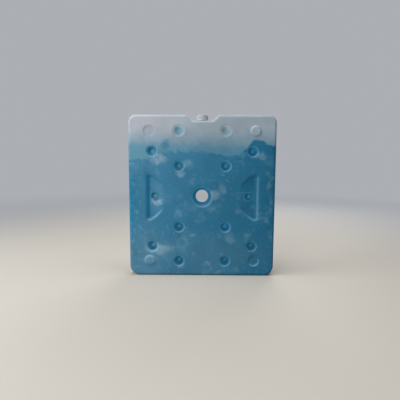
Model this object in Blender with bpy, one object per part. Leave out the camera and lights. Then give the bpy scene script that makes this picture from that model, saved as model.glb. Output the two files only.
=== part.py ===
"""Reusable ice pack: a flat blow-moulded bottle, the coolant in it and the cap over its filler neck.

The pack stands on its base. X runs along its width, Z up from the middle of the base, and Y
through its thickness, with the front face towards -Y. Depths are counted inwards from a face.
"""

import math

import bmesh
import bpy

# The bottle
HEIGHT = 0.358
WIDTH = 0.324
THICKNESS = 0.033
WALL = 0.0018
EDGE_ROUND = 0.006
TOP_CORNER = 0.017
BOTTOM_CORNER = 0.022

# The notch in the top edge
NOTCH_MOUTH = 0.071
NOTCH_FLOOR = 0.045
NOTCH_DEPTH = 0.012
NOTCH_ROUND = 0.0075

# The round hole through the middle
HOLE_MOUTH = 0.0225
HOLE_WAIST = 0.0142
HOLE_RIM_ROUND = 0.007
HOLE_ABOVE_MIDDLE = 0.0005

# The conical dimples, moulded in both faces until they meet and weld
DIMPLE_MOUTH = 0.0113
DIMPLE_FOOT = 0.0042
DIMPLE_RIM_ROUND = 0.005
WELD = 0.0026
INNER_COLUMN = 0.0515
OUTER_COLUMN_FROM_SIDE = 0.0515
GRIP_COLUMN_FROM_SIDE = 0.0574
TOP_ROW_FROM_TOP = 0.034
UPPER_ROW_FROM_TOP = 0.0788
LOWER_ROW_FROM_BASE = 0.0682
BOTTOM_ROW_FROM_BASE = 0.034
INNER_ROW_FROM_HOLE = 0.0678

# The finger grips: half-round, deepest at the straight wall and running out at the other side
GRIP_FROM_SIDE = 0.0385
GRIP_BELOW_HOLE = 0.002
GRIP_WIDTH = 0.0413
GRIP_BULGE = 0.0555
GRIP_CORNER = 0.009
GRIP_DEPTH = 0.0095
GRIP_RAMP = 0.038
GRIP_DRAFT = 0.85

# The nesting discs near the corners: raised on one face where the other is sunk
DISC_RADIUS = 0.0132
DISC_HEIGHT = 0.0025
DISC_DRAFT = 0.35
DISC_SLACK = 0.0005
DISC_FROM_SIDE = 0.0455
DISC_FROM_TOP = 0.035
DISC_FROM_BASE = 0.0345

# The coolant, and the neck and cap that close the bottle
CLEARANCE = 0.0003
FILL_HEIGHT = 0.297
NECK_RADIUS = 0.0096
NECK_BORE = 0.0075
CAP_RADIUS = 0.0126
CAP_HEIGHT = 0.0115
CAP_ROOF = 0.0022
CAP_CHAMFER = 0.0010
STOPPER_WALL = 0.0016
STOPPER_LENGTH = 0.0070

# Fineness, where a pair is for the outside and for the inside
CORNER_STEPS = 5
EDGE_STEPS = (3, 2)
ROUND_STEPS = (2, 1)
SIDES = 14
HOLE_SIDES = 24
GRIP_ARC_STEPS = 10
GRIP_CORNER_STEPS = 3
SMOOTH_ANGLE = math.radians(35)
LEAST_ROUND = 0.0008

# How far a cutter stands out of what it cuts, and how far a joined form reaches into its mate
LIFT = 0.001
OVERLAP = 0.003

HALF = THICKNESS / 2
HOLE_Z = HEIGHT / 2 + HOLE_ABOVE_MIDDLE
NOTCH_Z = HEIGHT - NOTCH_DEPTH
FRONT = -1
BACK = 1


def material(name, colour, roughness, alpha=1.0):
    made = bpy.data.materials.new(name)
    made.use_nodes = True
    made.diffuse_color = (*colour, alpha)
    shader = made.node_tree.nodes["Principled BSDF"]
    shader.inputs["Base Color"].default_value = (*colour, 1.0)
    shader.inputs["Roughness"].default_value = roughness
    shader.inputs["Metallic"].default_value = 0.0
    shader.inputs["Alpha"].default_value = alpha
    return made


def skinned(name, stacks):
    """An object of closed solids. Each stack is a list of rings with the same number of points."""
    shape = bmesh.new()
    for stack in stacks:
        loops = [[shape.verts.new(point) for point in ring] for ring in stack]
        for loop, following in zip(loops, loops[1:]):
            for i, corner in enumerate(loop):
                shape.faces.new((loop[i - 1], corner, following[i], following[i - 1]))
        shape.faces.new(loops[0])
        shape.faces.new(loops[-1])
    bmesh.ops.recalc_face_normals(shape, faces=shape.faces)
    mesh = bpy.data.meshes.new(name)
    shape.to_mesh(mesh)
    shape.free()
    mesh.shade_smooth()
    mesh.set_sharp_from_angle(angle=SMOOTH_ANGLE)
    made = bpy.data.objects.new(name, mesh)
    bpy.context.collection.objects.link(made)
    return made


def combine(target, other, operation):
    """Cuts the other object from the target, or joins it on, and keeps it as a guide."""
    step = target.modifiers.new(other.name, "BOOLEAN")
    step.operation = operation
    step.solver = "EXACT"
    step.object = other
    other.hide_render = True
    other.display_type = "WIRE"


def rounded_outline(corners, steps, inset):
    """The outline through (x, z, round) corners, taken anticlockwise and moved inwards.

    A round keeps its centre as the outline moves in, so an outer round shrinks and an inner
    one grows.
    """
    points = []
    for i, (x, z, radius) in enumerate(corners):
        x_before, z_before = corners[i - 1][:2]
        x_after, z_after = corners[(i + 1) % len(corners)][:2]
        before = math.atan2(z - z_before, x - x_before)
        after = math.atan2(z_after - z, x_after - x)
        turn = math.remainder(after - before, math.tau)
        outer = math.copysign(1.0, turn)
        if outer > 0:
            radius = max(radius, inset + LEAST_ROUND)
        reach = outer * radius / math.cos(turn / 2)
        inward = before + turn / 2 + math.pi / 2
        centre_x = x + reach * math.cos(inward)
        centre_z = z + reach * math.sin(inward)
        for k in range(steps + 1):
            away = before + turn * k / steps - math.pi / 2
            distance = outer * radius - inset
            points.append((centre_x + distance * math.cos(away), centre_z + distance * math.sin(away)))
    return points


def pack_corners():
    side = WIDTH / 2
    mouth = NOTCH_MOUTH / 2
    floor = NOTCH_FLOOR / 2
    return (
        (-side, 0, BOTTOM_CORNER),
        (side, 0, BOTTOM_CORNER),
        (side, HEIGHT, TOP_CORNER),
        (mouth, HEIGHT, NOTCH_ROUND),
        (floor, NOTCH_Z, NOTCH_ROUND),
        (-floor, NOTCH_Z, NOTCH_ROUND),
        (-mouth, HEIGHT, NOTCH_ROUND),
        (-side, HEIGHT, TOP_CORNER),
    )


def pack_block(name, inset):
    """The plain pack with its rounded front and back edges, all its surfaces moved in by inset."""
    steps = EDGE_STEPS[inset > 0]
    rings = []
    for face in (FRONT, BACK):
        for k in range(steps + 1)[::-face]:
            turn = math.pi / 2 * k / steps
            drawn_in = EDGE_ROUND - (EDGE_ROUND - inset) * math.sin(turn)
            depth = EDGE_ROUND - (EDGE_ROUND - inset) * math.cos(turn)
            y = face * (HALF - depth)
            outline = rounded_outline(pack_corners(), CORNER_STEPS, drawn_in)
            rings.append([(x, y, z) for x, z in outline])
    return skinned(name, [rings])


def turned(x, z, face, profile, sides):
    """Rings about an axis through the pack at (x, z), from a profile of (radius, depth)."""
    angles = [math.tau * i / sides for i in range(sides)]
    return [
        [(x + radius * math.cos(a), face * (HALF - depth), z + radius * math.sin(a)) for a in angles]
        for radius, depth in profile
    ]


def mouth_profile(mouth, slope, rim_round, inset):
    """(radius, depth) from above the face, over the rounded rim and onto the sloping wall.

    The wall's line meets the face at the radius called mouth and closes in by slope per depth.
    """
    stretch = math.hypot(1, slope)
    centre = mouth + rim_round * (stretch - slope)
    full_turn = math.atan2(1, slope)
    steps = ROUND_STEPS[inset > 0]
    turns = [full_turn * k / steps for k in range(steps + 1)]
    rim = [
        (centre - (rim_round - inset) * math.sin(a), rim_round - (rim_round - inset) * math.cos(a))
        for a in turns
    ]
    (radius, depth), (next_radius, next_depth) = rim[:2]
    flare = (radius - next_radius) / (next_depth - depth)
    return [(radius + flare * LIFT, depth - LIFT)] + rim[1:]


def through_profile(mouth, slope, rim_round, inset):
    """A profile from one face to the other, narrowest in the middle of the thickness."""
    half = mouth_profile(mouth, slope, rim_round, inset)
    waist = (mouth - slope * HALF + inset * math.hypot(1, slope), HALF)
    return half + [waist] + [(radius, THICKNESS - depth) for radius, depth in reversed(half)]


def dimple_places():
    inner = INNER_COLUMN
    outer = WIDTH / 2 - OUTER_COLUMN_FROM_SIDE
    grip = WIDTH / 2 - GRIP_COLUMN_FROM_SIDE
    rows = (
        (inner, HEIGHT - TOP_ROW_FROM_TOP),
        (outer, HEIGHT - UPPER_ROW_FROM_TOP),
        (inner, HOLE_Z + INNER_ROW_FROM_HOLE),
        (grip, HOLE_Z),
        (inner, HOLE_Z - INNER_ROW_FROM_HOLE),
        (outer, LOWER_ROW_FROM_BASE),
        (inner, BOTTOM_ROW_FROM_BASE),
    )
    return [(hand * x, z) for x, z in rows for hand in (-1, 1)]


def disc_places():
    """(x, z, face on which the disc is raised). Half a turn about Z brings the pack onto itself."""
    x = WIDTH / 2 - DISC_FROM_SIDE
    top = HEIGHT - DISC_FROM_TOP
    return ((-x, top, BACK), (x, top, FRONT), (-x, DISC_FROM_BASE, FRONT), (x, DISC_FROM_BASE, BACK))


def dimple_cutter(name, inset):
    """Blind cones that leave the weld on the outside, or pillars right through an inner form."""
    foot_depth = HALF - WELD / 2
    slope = (DIMPLE_MOUTH - DIMPLE_FOOT) / foot_depth
    if inset:
        profile = through_profile(DIMPLE_MOUTH, slope, DIMPLE_RIM_ROUND, inset)
        return skinned(name, [turned(x, z, FRONT, profile, SIDES) for x, z in dimple_places()])
    profile = mouth_profile(DIMPLE_MOUTH, slope, DIMPLE_RIM_ROUND, 0) + [(DIMPLE_FOOT, foot_depth)]
    return skinned(
        name,
        [turned(x, z, face, profile, SIDES) for x, z in dimple_places() for face in (FRONT, BACK)],
    )


def hole_cutter(name, inset):
    slope = (HOLE_MOUTH - HOLE_WAIST) / HALF
    profile = through_profile(HOLE_MOUTH, slope, HOLE_RIM_ROUND, inset)
    return skinned(name, [turned(0, HOLE_Z, FRONT, profile, HOLE_SIDES)])


def grip_outline():
    """(distance in from the straight wall, height from the middle, direction away) round a grip."""
    arc_centre = GRIP_WIDTH - GRIP_BULGE
    corner_height = math.sqrt((GRIP_BULGE - GRIP_CORNER) ** 2 - (GRIP_CORNER - arc_centre) ** 2)
    corner_turn = math.atan2(corner_height, GRIP_CORNER - arc_centre)
    points = []
    for k in range(GRIP_ARC_STEPS + 1):
        a = corner_turn * (2 * k / GRIP_ARC_STEPS - 1)
        points.append((arc_centre + GRIP_BULGE * math.cos(a), GRIP_BULGE * math.sin(a), a))
    for hand in (1, -1):
        for k in range(1, GRIP_CORNER_STEPS + 1)[::hand]:
            a = hand * (corner_turn + (math.pi - corner_turn) * k / GRIP_CORNER_STEPS)
            across = GRIP_CORNER * (1 + math.cos(a))
            points.append((across, hand * corner_height + GRIP_CORNER * math.sin(a), a))
    return points


def grip_rings(hand, face, inset):
    """The cutter of one grip: its drafted walls, between a sloping floor and a lid above the face."""
    fall = GRIP_DEPTH / GRIP_RAMP
    floor_shift = inset * math.hypot(1, fall)
    wall_shift = inset * math.hypot(1, GRIP_DRAFT)
    wall_x = WIDTH / 2 - GRIP_FROM_SIDE
    middle = HOLE_Z - GRIP_BELOW_HOLE
    lid = []
    floor = []
    for across, up, away in grip_outline():
        start = across + wall_shift * math.cos(away)
        bottom = GRIP_DEPTH - fall * start + floor_shift
        bottom /= 1 - fall * GRIP_DRAFT * math.cos(away)
        for ring, depth in ((lid, inset - LIFT), (floor, bottom)):
            out = wall_shift - GRIP_DRAFT * depth
            x = hand * (wall_x - across - out * math.cos(away))
            ring.append((x, face * (HALF - depth), middle + up + out * math.sin(away)))
    return [lid, floor]


def grip_cutter(name, inset):
    return skinned(
        name, [grip_rings(hand, face, inset) for hand in (-1, 1) for face in (FRONT, BACK)]
    )


def disc_cutter(name, inset):
    """The sunk discs, a little wider than the raised ones that nest in them."""
    radius = DISC_RADIUS + DISC_SLACK + inset * math.hypot(1, DISC_DRAFT)
    profile = [(radius - DISC_DRAFT * t, t) for t in (inset - LIFT, inset + DISC_HEIGHT)]
    return skinned(name, [turned(x, z, -face, profile, SIDES) for x, z, face in disc_places()])


def disc_boss(name, inset):
    """The raised discs."""
    radius = DISC_RADIUS - inset * math.hypot(1, DISC_DRAFT)
    profile = [(radius + DISC_DRAFT * t, t) for t in (inset + OVERLAP, inset - DISC_HEIGHT)]
    return skinned(name, [turned(x, z, face, profile, SIDES) for x, z, face in disc_places()])


def pack_form(name, inset):
    """The whole moulded form, all its surfaces moved in by inset."""
    form = pack_block(name, inset)
    combine(form, disc_boss(name + "_raised_discs", inset), "UNION")
    combine(form, disc_cutter(name + "_sunk_discs", inset), "DIFFERENCE")
    combine(form, grip_cutter(name + "_grips", inset), "DIFFERENCE")
    combine(form, dimple_cutter(name + "_dimples", inset), "DIFFERENCE")
    combine(form, hole_cutter(name + "_hole", inset), "DIFFERENCE")
    return form


def upright(profile, sides):
    """Rings about the neck's axis, from a profile of (radius, height above the notch floor)."""
    angles = [math.tau * i / sides for i in range(sides)]
    return [
        [(radius * math.cos(a), radius * math.sin(a), NOTCH_Z + height) for a in angles]
        for radius, height in profile
    ]


def neck_height():
    return CLEARANCE + CAP_HEIGHT - CAP_ROOF - CLEARANCE


def shell():
    """The bottle: one blown wall all round, with the filler neck standing in the notch."""
    made = pack_form("shell", 0)
    neck = skinned("neck", [upright(((NECK_RADIUS, -OVERLAP), (NECK_RADIUS, neck_height())), HOLE_SIDES)])
    combine(made, neck, "UNION")
    combine(made, pack_form("shell_inside", WALL), "DIFFERENCE")
    bore = skinned(
        "neck_bore",
        [upright(((NECK_BORE, -WALL - OVERLAP), (NECK_BORE, neck_height() + LIFT)), HOLE_SIDES)],
    )
    combine(made, bore, "DIFFERENCE")
    made.data.materials.append(material("natural_polyethylene", (0.66, 0.74, 0.78), 0.42, 0.55))


def gel():
    """The coolant, which fills the bottle up to a level surface and leaves air above it."""
    made = pack_form("gel", WALL + CLEARANCE)
    corners = ((-WIDTH, -THICKNESS), (WIDTH, -THICKNESS), (WIDTH, THICKNESS), (-WIDTH, THICKNESS))
    space = [[(x, y, z) for x, y in corners] for z in (FILL_HEIGHT, HEIGHT + OVERLAP)]
    combine(made, skinned("air_space", [space]), "DIFFERENCE")
    made.data.materials.append(material("blue_coolant", (0.035, 0.20, 0.32), 0.55))


def filler_cap():
    """The cap pushed over the neck for good, with a round stopper inside that seals the bore."""
    stopper = NECK_BORE - CLEARANCE
    skirt = NECK_RADIUS + CLEARANCE
    top = CAP_HEIGHT
    roof = CAP_HEIGHT - CAP_ROOF
    end = roof - STOPPER_LENGTH
    profile = (
        (stopper - STOPPER_WALL, roof),
        (stopper - STOPPER_WALL, end),
        (stopper, end),
        (stopper, roof),
        (skirt, roof),
        (skirt, 0),
        (CAP_RADIUS, 0),
        (CAP_RADIUS, top - CAP_CHAMFER),
        (CAP_RADIUS - CAP_CHAMFER, top),
    )
    made = skinned("filler_cap", [upright([(r, CLEARANCE + z) for r, z in profile], HOLE_SIDES)])
    made.data.materials.append(material("white_polyethylene", (0.70, 0.75, 0.74), 0.38, 0.8))


for old in list(bpy.data.objects):
    bpy.data.objects.remove(old)
shell()
gel()
filler_cap()
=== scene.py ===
"""A reusable ice pack: a flat blown bottle of milky plastic, the blue coolant in it and its cap.

Metres throughout. The pack stands on its base, X along its width, Z up, the front face to -Y.
"""

import math

import bpy
import numpy as np
from mathutils import Matrix, Vector
from mathutils.geometry import delaunay_2d_cdt


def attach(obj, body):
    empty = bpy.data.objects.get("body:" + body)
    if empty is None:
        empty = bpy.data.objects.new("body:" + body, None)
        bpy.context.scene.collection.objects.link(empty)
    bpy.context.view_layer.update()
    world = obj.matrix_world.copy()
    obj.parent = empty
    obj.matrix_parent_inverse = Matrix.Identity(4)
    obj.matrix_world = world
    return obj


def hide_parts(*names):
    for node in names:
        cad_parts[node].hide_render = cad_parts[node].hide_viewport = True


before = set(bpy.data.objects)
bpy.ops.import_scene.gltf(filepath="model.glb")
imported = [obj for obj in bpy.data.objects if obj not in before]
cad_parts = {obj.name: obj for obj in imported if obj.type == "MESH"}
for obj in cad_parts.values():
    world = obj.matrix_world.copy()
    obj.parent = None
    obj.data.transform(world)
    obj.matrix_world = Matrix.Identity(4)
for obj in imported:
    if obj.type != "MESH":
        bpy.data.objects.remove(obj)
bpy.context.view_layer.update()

# The bottle: one wall all round, blown from a hot tube of natural polyethylene that two mould
# halves close on. It has a rounded edge with the seam of the mould, a notch for the filler neck,
# a hole through the middle, dimples that weld face to face, finger grips and nesting discs.
HEIGHT = 0.358
WIDTH = 0.324
HALF = 0.0165
WALL = 0.0018
EDGE_ROUND = 0.006
EDGE_DRAFT = 0.0003
SEAM_HEIGHT = 0.0003
SEAM_HALF_WIDTH = 0.0012
SEAM_ROWS = (1.0, 0.8, 0.6, 0.4, 0.2)
SEAM_CLEAR = 0.0018
SEAM_START_Z = 0.003
SEAM_RUN_IN = 0.006
BASE_CORNER = 0.022
TOP_CORNER = 0.017
NOTCH_CORNER = 0.0075
NOTCH_MOUTH_HALF = 0.0355
NOTCH_FLOOR_HALF = 0.0225
NOTCH_Z = HEIGHT - 0.012
PACK_CORNERS = (
    (-WIDTH / 2, 0, BASE_CORNER),
    (WIDTH / 2, 0, BASE_CORNER),
    (WIDTH / 2, HEIGHT, TOP_CORNER),
    (NOTCH_MOUTH_HALF, HEIGHT, NOTCH_CORNER),
    (NOTCH_FLOOR_HALF, NOTCH_Z, NOTCH_CORNER),
    (-NOTCH_FLOOR_HALF, NOTCH_Z, NOTCH_CORNER),
    (-NOTCH_MOUTH_HALF, HEIGHT, NOTCH_CORNER),
    (-WIDTH / 2, HEIGHT, TOP_CORNER),
)
CORNER_STEPS = 18
EDGE_STEPS = 9
EDGE_SPACING = 0.0045
HOLE_Z = 0.1795
HOLE_MOUTH = 0.0225
HOLE_WAIST = 0.0134
HOLE_RIM_ROUND = 0.007
HOLE_WAIST_ROUND = 0.004
HOLE_REACH = 0.0320
HOLE_STEPS = 11
HOLE_SIDES = 84
DIMPLE_MOUTH = 0.0113
DIMPLE_RIM_REACH = 0.0065
DIMPLE_RIM_TIGHTENED = 0.9
DIMPLE_FOOT_DEPTH = 0.0152
DIMPLE_FOOT_ROUND = 0.0025
DIMPLE_TAPER = 0.0071
DIMPLE_SLOPE = DIMPLE_TAPER / DIMPLE_FOOT_DEPTH
DIMPLE_OUTER_RING = 0.0160
DIMPLE_INNER_RING = 0.0030
DIMPLE_CENTRE_RINGS = (0.0020, 0.0010)
DIMPLE_RINGS = 26
DIMPLE_SIDES = 36
GRIP_DIMPLE_X = 0.1046
DIMPLE_PLACES = [
    (hand * x, z)
    for x, z in (
        (0.0515, 0.3240),
        (0.1105, 0.2792),
        (0.0515, 0.2473),
        (GRIP_DIMPLE_X, HOLE_Z),
        (0.0515, 0.1117),
        (0.1105, 0.0682),
        (0.0515, 0.0340),
    )
    for hand in (-1, 1)
]
GRIP_WALL_X = 0.1235
GRIP_Z = HOLE_Z - 0.002
GRIP_WIDTH = 0.0413
GRIP_BULGE = 0.0555
GRIP_CORNER = 0.009
GRIP_DEPTH = 0.0095
GRIP_FLOOR_LENGTH = 0.038
GRIP_FALL = GRIP_DEPTH / GRIP_FLOOR_LENGTH
GRIP_DRAFT = 0.85
GRIP_RIM_REACH = 0.0042
GRIP_FLOOR_REACH = 0.001
GRIP_FOOT_REACH = 0.35
GRIP_LEAST_FLOOR = 1e-5
GRIP_OUTER_LINE = 0.0046
GRIP_INNER_LINE = -0.0084
GRIP_LINES = 26
GRIP_BOW_POINTS = 48
GRIP_CORNER_POINTS = 10
GRIP_WALL_POINTS = 26
GRIP_DIMPLE_CLEAR = 0.0152
DISC_RADIUS = 0.0122
DISC_SLACK = 0.0005
DISC_HEIGHT = 0.0025
DISC_DRAFT = 0.95
DISC_ROUND = 0.65
DISC_REACH = 0.0165
DISC_OUTER_RING = 0.0154
DISC_INNER_RING = 0.0076
DISC_RINGS = 20
DISC_SIDES = 48
# A disc is (x, z, way): it bulges to the back where the way is 1 and to the front where it is -1,
# so it is raised on one face and sunk in the other.
DISC_PLACES = (
    (-0.1165, 0.3230, 1), (0.1165, 0.3230, -1), (-0.1165, 0.0345, -1), (0.1165, 0.0345, 1)
)
RIPPLE_HEIGHT = 0.00013
RIPPLE_FADE = 0.02
LATTICE = 0.0052
LATTICE_CELL = 0.0017
SPARE_CELLS = 4
MILLIMETRES = 1000
SAME_PLACE = 1e-6
SAME_PLACE_SEEN_FLAT = 1e-5
INNER_COARSENESS = 3


def rounded_path(points, rounds, steps):
    """A path with each inner corner swapped for an arc of its round.

    An arc starts at round / tan(half the corner's angle) from the corner, and its points are the
    two ends' arms from the arc's centre, mixed by sine so that they turn at an even rate.
    """
    points = np.array(points, float)
    made = [points[:1]]
    for before, corner, after, radius in zip(points, points[1:], points[2:], rounds):
        arm = (before - corner) / np.linalg.norm(before - corner)
        other = (after - corner) / np.linalg.norm(after - corner)
        half = math.acos(arm @ other) / 2
        turn = math.pi - 2 * half
        centre = corner + (arm + other) / np.linalg.norm(arm + other) * radius / math.sin(half)
        first = corner + arm * radius / math.tan(half) - centre
        last = corner + other * radius / math.tan(half) - centre
        t = np.linspace(0, 1, steps + 1)[:, None]
        made.append(centre + (first * np.sin((1 - t) * turn) + last * np.sin(t * turn)) / math.sin(turn))
    made.append(points[-1:])
    return np.concatenate(made)


def outline_of(corners, steps, spacing):
    """Points round an outline and the inward direction at each.

    An arc of the corner's round replaces each corner, and straights are cut to even lengths.
    """
    arcs = []
    for i, (x, z, radius) in enumerate(corners):
        x_before, z_before = corners[i - 1][:2]
        x_after, z_after = corners[(i + 1) % len(corners)][:2]
        before = math.atan2(z - z_before, x - x_before)
        turn = math.remainder(math.atan2(z_after - z, x_after - x) - before, math.tau)
        side = math.copysign(1.0, turn)
        reach = side * radius / math.cos(turn / 2)
        middle = before + turn / 2 + math.pi / 2
        headings = before + turn * np.linspace(0, 1, steps + 1)
        inward = np.stack([-np.sin(headings), np.cos(headings)], -1)
        centre = np.array([x + reach * math.cos(middle), z + reach * math.sin(middle)])
        arcs.append((centre - side * radius * inward, inward))
    points = []
    inwards = []
    for (arc, inward), (following, _) in zip(arcs, arcs[1:] + arcs[:1]):
        cuts = max(1, math.ceil(np.linalg.norm(following[0] - arc[-1]) / spacing))
        share = np.linspace(0, 1, cuts + 1)[1:-1, None]
        points += [arc, arc[-1] + share * (following[0] - arc[-1])]
        inwards += [inward, np.repeat(inward[-1:], cuts - 1, 0)]
    return np.concatenate(points), np.concatenate(inwards)


def larger(a, b, reach):
    """The larger of two depths, with a round of the given reach where they cross."""
    return np.maximum(a, b) + np.maximum(reach - abs(a - b), 0) ** 2 / (4 * reach)


def smaller(a, b, reach):
    """The smaller of two depths, with a round of the given reach where they cross."""
    return -larger(-a, -b, reach)


def rings(x, z, radii, sides):
    """Points round an axis at (x, z), one ring for each radius: (x + r cos a, z + r sin a)."""
    a = np.arange(sides) * math.tau / sides
    r = np.array(radii)[:, None]
    return np.stack([x + r * np.cos(a), z + r * np.sin(a)], -1)


def dimple_depth(x, z, around, inset):
    """Depth of the cone about (x, z): (mouth - r) / slope, rounded into its flat foot.

    Here and below, the inset is 0 for the outer skin and the wall's thickness for the inner one,
    which moves a slope sideways by inset * hypot(1, slope).
    """
    r = np.linalg.norm(around - (x, z), axis=-1)
    cone = (DIMPLE_MOUTH + inset * math.hypot(1, DIMPLE_SLOPE) - r) / DIMPLE_SLOPE
    return cone if inset else smaller(cone, DIMPLE_FOOT_DEPTH, DIMPLE_FOOT_ROUND)


def grip_floor(points, inset):
    """Depth of a grip's floor: deepest at the straight wall and falling off evenly inwards."""
    across = GRIP_WALL_X - abs(points[..., 0])
    floor = GRIP_DEPTH + inset * math.hypot(1, GRIP_FALL) - GRIP_FALL * across
    return larger(inset, floor, GRIP_FLOOR_REACH)


def beyond_grip(points):
    """Distance outwards from the nearer grip's outline.

    The outline is where a straight wall and an arc cross, with a round at each crossing.
    """
    across = GRIP_WALL_X - abs(points[..., 0])
    bow = np.hypot(across - (GRIP_WIDTH - GRIP_BULGE), points[..., 1] - GRIP_Z) - GRIP_BULGE
    round_off = np.hypot(GRIP_CORNER - across, GRIP_CORNER + bow) - GRIP_CORNER
    at_corner = (across < GRIP_CORNER) & (bow > -GRIP_CORNER)
    return np.where(at_corner, round_off, np.maximum(-across, bow))


def grip_depth(points, inset):
    """Depth of the grips: the wall goes down by distance / draft, rounded at its rim and foot.

    The foot's round shrinks with the floor's depth, so that the bow runs out into the face.
    """
    drop = (inset * math.hypot(1, GRIP_DRAFT) - beyond_grip(points)) / GRIP_DRAFT
    floor = grip_floor(points, inset) - inset
    share = larger(0, drop - inset, GRIP_RIM_REACH) / np.maximum(floor, GRIP_LEAST_FLOOR)
    return inset + floor * smaller(share, 1, GRIP_FOOT_REACH)


def grip_lines(hand, offsets):
    """Points along lines that follow a grip's outline at the given distances outwards.

    The outline is the bow's arc, a corner's arc, the straight wall and the other corner's arc.
    """
    middle = GRIP_WIDTH - GRIP_BULGE
    up = math.sqrt((GRIP_BULGE - GRIP_CORNER) ** 2 - (GRIP_CORNER - middle) ** 2)
    turn = math.atan2(up, GRIP_CORNER - middle)
    bow = np.linspace(-turn, turn, GRIP_BOW_POINTS)
    corner = np.linspace(turn, math.pi, GRIP_CORNER_POINTS)[1:]
    wall = np.linspace(up, -up, GRIP_WALL_POINTS)[1:-1]
    away = np.concatenate([bow, corner, np.full(len(wall), math.pi), -corner[::-1]])
    across = np.concatenate(
        [middle + GRIP_BULGE * np.cos(bow), GRIP_CORNER * (1 + np.cos(corner)), 0 * wall]
        + [GRIP_CORNER * (1 + np.cos(corner[::-1]))]
    )
    height = np.concatenate(
        [GRIP_BULGE * np.sin(bow), up + GRIP_CORNER * np.sin(corner), wall]
        + [-up - GRIP_CORNER * np.sin(corner[::-1])]
    )
    out = np.array(offsets)[:, None]
    x = hand * (GRIP_WALL_X - across - out * np.cos(away))
    return np.stack([x, GRIP_Z + height + out * np.sin(away)], -1).reshape(-1, 2)


def disc_depth(r, sunk, inset):
    """Depth of a nesting disc: a step of its height, rounded above and below, at its radius."""
    spread = inset * math.hypot(1, DISC_DRAFT)
    radius = DISC_RADIUS + (DISC_SLACK + spread if sunk else -spread)
    slope = (radius - r) / (DISC_DRAFT * DISC_HEIGHT)
    step = smaller(larger(slope, 0, DISC_ROUND), 1, DISC_ROUND)
    return inset + (DISC_HEIGHT if sunk else -DISC_HEIGHT) * step


def ripple(points):
    """The slight waviness of a blown wall: three crossed waves that die away towards the edge."""
    x, z = points[..., 0], points[..., 1]
    waves = np.cos(61 * x + 0.8) * np.cos(47 * z + 0.4) + 0.6 * np.cos(97 * x - 83 * z + 1.9)
    waves += 0.5 * np.sin(131 * z + 38 * x)
    edge = np.minimum(np.minimum(WIDTH / 2 - abs(x), z), NOTCH_Z - z) - EDGE_ROUND
    return RIPPLE_HEIGHT * waves * np.clip(edge / RIPPLE_FADE, 0, 1) ** 2


def depth_of_face(points, inset, face_side):
    """Depth of one face at each point: its grips, its dimples and its discs, less the ripple."""
    depth = grip_depth(points, inset)
    for x, z in DIMPLE_PLACES:
        reach = DIMPLE_RIM_REACH - DIMPLE_RIM_TIGHTENED * inset
        depth = larger(depth, dimple_depth(x, z, points, inset), reach)
    for x, z, way in DISC_PLACES:
        r = np.linalg.norm(points - (x, z), axis=-1)
        step = disc_depth(r, way * face_side < 0, inset)
        depth = np.where(r < DISC_REACH, step, depth)
    return depth - ripple(points) * np.clip(1 - depth / HALF, 0, 1)


def hole_profile(inset, steps):
    """The hole's funnel as (radius, depth), from the face round its rim and down to its waist."""
    stretch = inset * math.hypot(1, (HOLE_MOUTH - HOLE_WAIST) / HALF)
    mouth = HOLE_MOUTH + stretch + inset * 0.5
    waist = HOLE_WAIST + stretch
    profile = rounded_path(
        [(HOLE_REACH, inset), (mouth, inset), (waist, HALF), (mouth, 2 * HALF - inset)],
        (HOLE_RIM_ROUND - inset, HOLE_WAIST_ROUND + inset), steps,
    )
    return profile[: np.argmin(abs(profile[:, 1] - HALF)) + 1]


def lattice_between(points):
    """A lattice of even triangles that keeps clear of the openings and of the points given.

    It keeps clear by a grid of small cells: the points take their own cells and all next to them.
    """
    across, up = np.meshgrid(
        np.arange(-WIDTH / 2, WIDTH / 2, LATTICE), np.arange(0, HEIGHT, LATTICE * math.sqrt(0.75))
    )
    across += np.where(np.arange(len(across)) % 2, LATTICE / 2, 0)[:, None]
    lattice = np.stack([across.ravel(), up.ravel()], -1)
    corner = (WIDTH / 2, 0)
    cells = (int(WIDTH / LATTICE_CELL) + 3 * SPARE_CELLS, int(HEIGHT / LATTICE_CELL) + 3 * SPARE_CELLS)
    taken = np.zeros(cells, bool)
    filled = ((points + corner) / LATTICE_CELL).astype(int) + SPARE_CELLS
    for i in (-1, 0, 1):
        for j in (-1, 0, 1):
            taken[filled[:, 0] + i, filled[:, 1] + j] = True
    place = ((lattice + corner) / LATTICE_CELL).astype(int) + SPARE_CELLS
    clear = ~taken[place[:, 0], place[:, 1]]
    open_places = [(0, HOLE_Z, HOLE_MOUTH)] + [(x, z, DIMPLE_MOUTH) for x, z in DIMPLE_PLACES]
    for x, z, radius in open_places:
        clear &= np.linalg.norm(lattice - (x, z), axis=-1) > radius
    return lattice[clear]


def triangles_of_face(points, opening, edge_count):
    """Triangles between the points as seen from the front, inside the edge that comes first.

    Triangles whose three corners bound the same opening are left out.
    """
    along = np.arange(edge_count)
    border = np.stack([along, (along + 1) % edge_count], -1).tolist()
    flat = (points[:, :2] * MILLIMETRES).tolist()
    _, _, faces, sources, _, _ = delaunay_2d_cdt(flat, border, [], 1, SAME_PLACE_SEEN_FLAT)
    faces = np.array([source[0] for source in sources])[np.array(faces)]
    mark = opening[faces]
    bounding = (mark[:, 0] > 0) & (mark[:, 0] == mark[:, 1]) & (mark[:, 1] == mark[:, 2])
    return faces[~bounding]


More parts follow.
